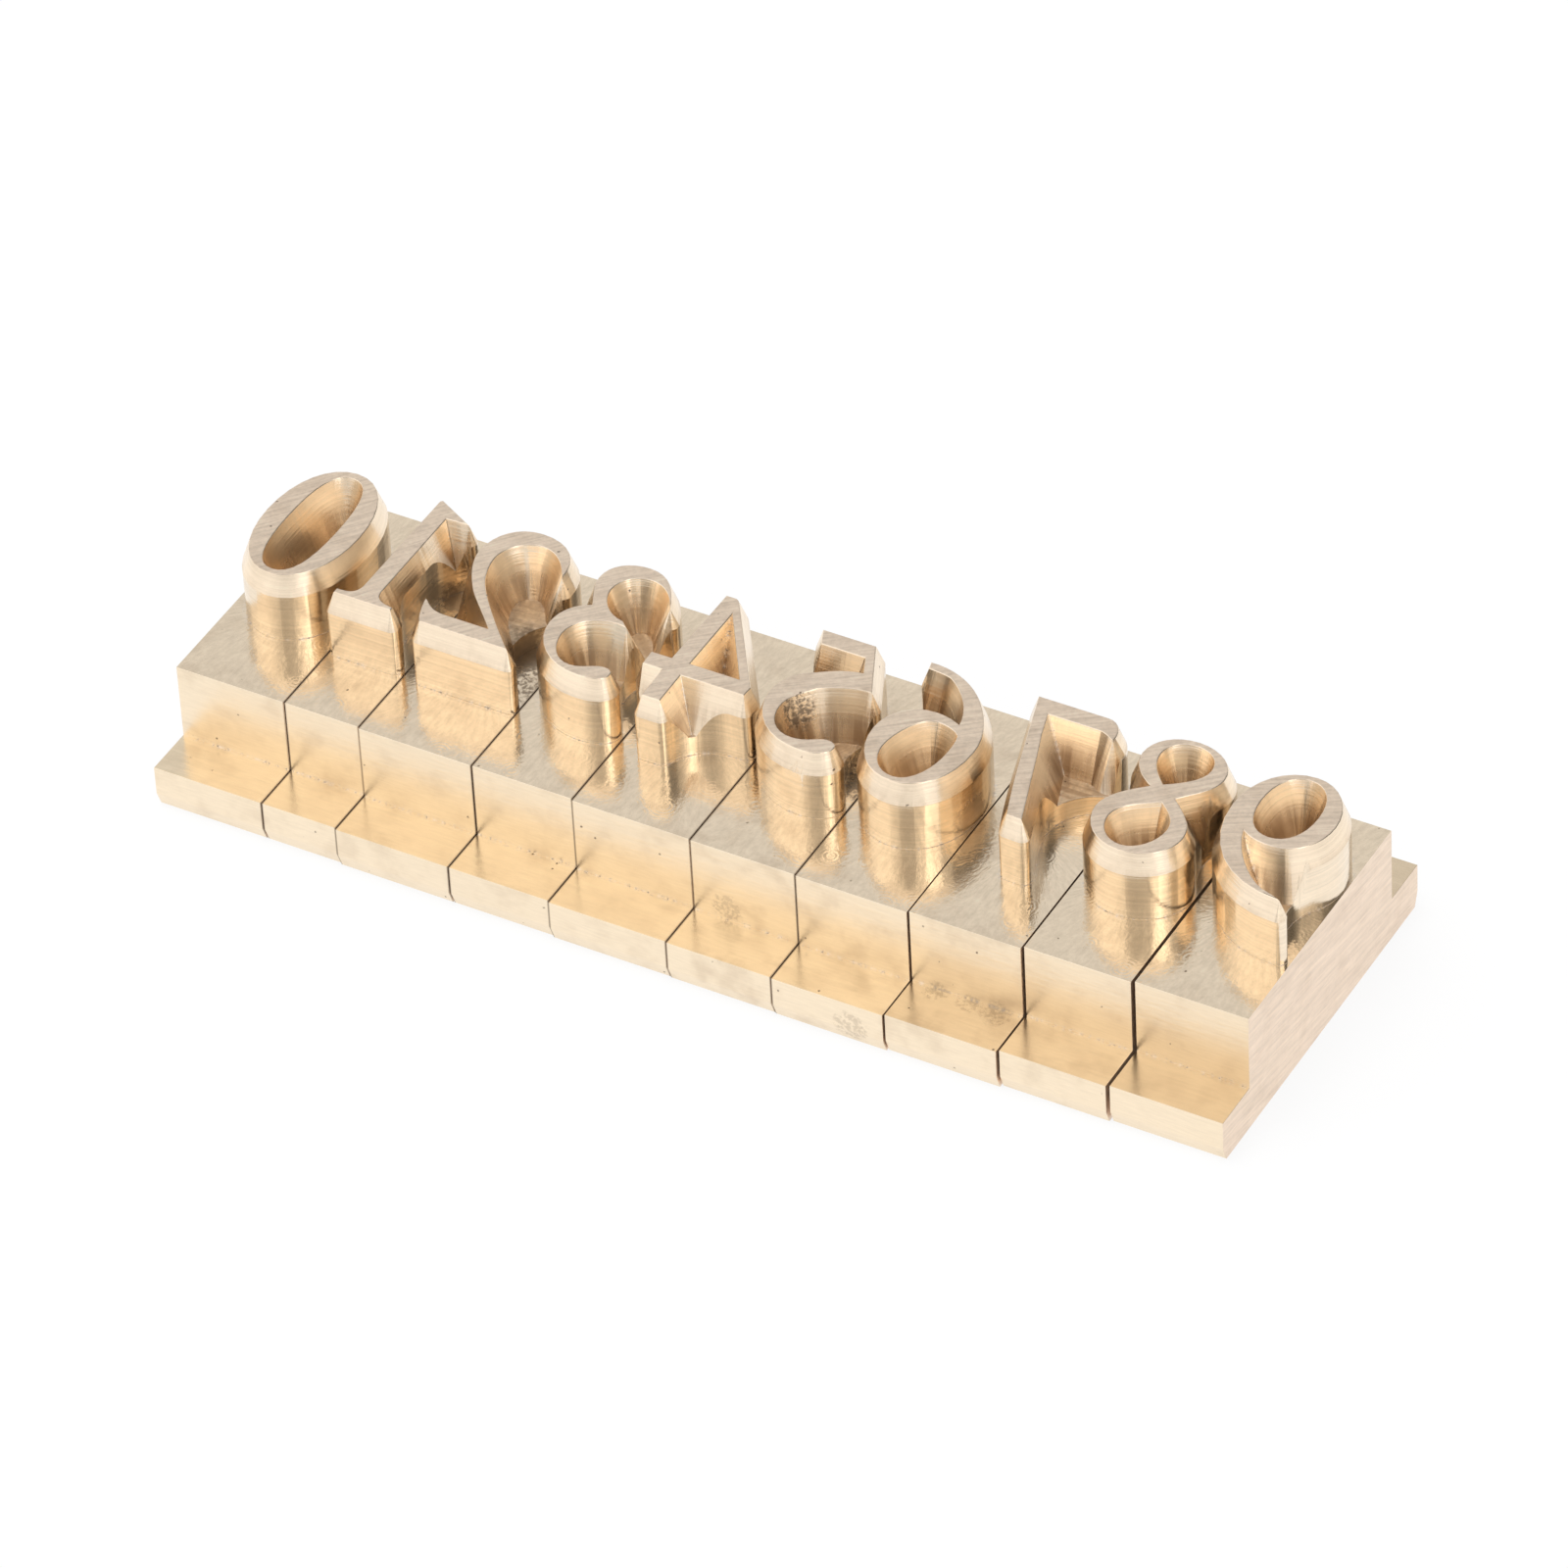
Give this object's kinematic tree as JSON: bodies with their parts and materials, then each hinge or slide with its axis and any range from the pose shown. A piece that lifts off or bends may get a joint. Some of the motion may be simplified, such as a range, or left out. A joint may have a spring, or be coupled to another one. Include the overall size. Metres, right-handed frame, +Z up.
{
  "type": "number stamp set",
  "caption": "Row of loose brass number stamps for leather, each with a raised mirror-image figure on a block with a T-slot foot.",
  "frame": {"origin": "under the middle of the row, on the surface that the stamps stand on", "axes": "+X along the row from the 0 to the 9, +Y from the foot of the figures to their head, +Z up from the base to the figures"},
  "size_m": [0.057, 0.0204, 0.0103],
  "materials": {
    "brass": "machined, bare"
  },
  "bodies": {
    "stamp_0": {"stamp_0": "brass"},
    "stamp_1": {"stamp_1": "brass"},
    "stamp_2": {"stamp_2": "brass"},
    "stamp_3": {"stamp_3": "brass"},
    "stamp_4": {"stamp_4": "brass"},
    "stamp_5": {"stamp_5": "brass"},
    "stamp_6": {"stamp_6": "brass"},
    "stamp_7": {"stamp_7": "brass"},
    "stamp_8": {"stamp_8": "brass"},
    "stamp_9": {"stamp_9": "brass"}
  },
  "joints": [
    {"name": "lift_0", "type": "slide", "parent": "stamp_4", "child": "stamp_0", "axis": [0, 0, 1], "range_m": [0, 0.012]},
    {"name": "lift_1", "type": "slide", "parent": "stamp_4", "child": "stamp_1", "axis": [0, 0, 1], "range_m": [0, 0.012]},
    {"name": "lift_2", "type": "slide", "parent": "stamp_4", "child": "stamp_2", "axis": [0, 0, 1], "range_m": [0, 0.012]},
    {"name": "lift_3", "type": "slide", "parent": "stamp_4", "child": "stamp_3", "axis": [0, 0, 1], "range_m": [0, 0.012]},
    {"name": "lift_5", "type": "slide", "parent": "stamp_4", "child": "stamp_5", "axis": [0, 0, 1], "range_m": [0, 0.012]},
    {"name": "lift_6", "type": "slide", "parent": "stamp_4", "child": "stamp_6", "axis": [0, 0, 1], "range_m": [0, 0.012]},
    {"name": "lift_7", "type": "slide", "parent": "stamp_4", "child": "stamp_7", "axis": [0, 0, 1], "range_m": [0, 0.012]},
    {"name": "lift_8", "type": "slide", "parent": "stamp_4", "child": "stamp_8", "axis": [0, 0, 1], "range_m": [0, 0.012]},
    {"name": "lift_9", "type": "slide", "parent": "stamp_4", "child": "stamp_9", "axis": [0, 0, 1], "range_m": [0, 0.012]}
  ]
}
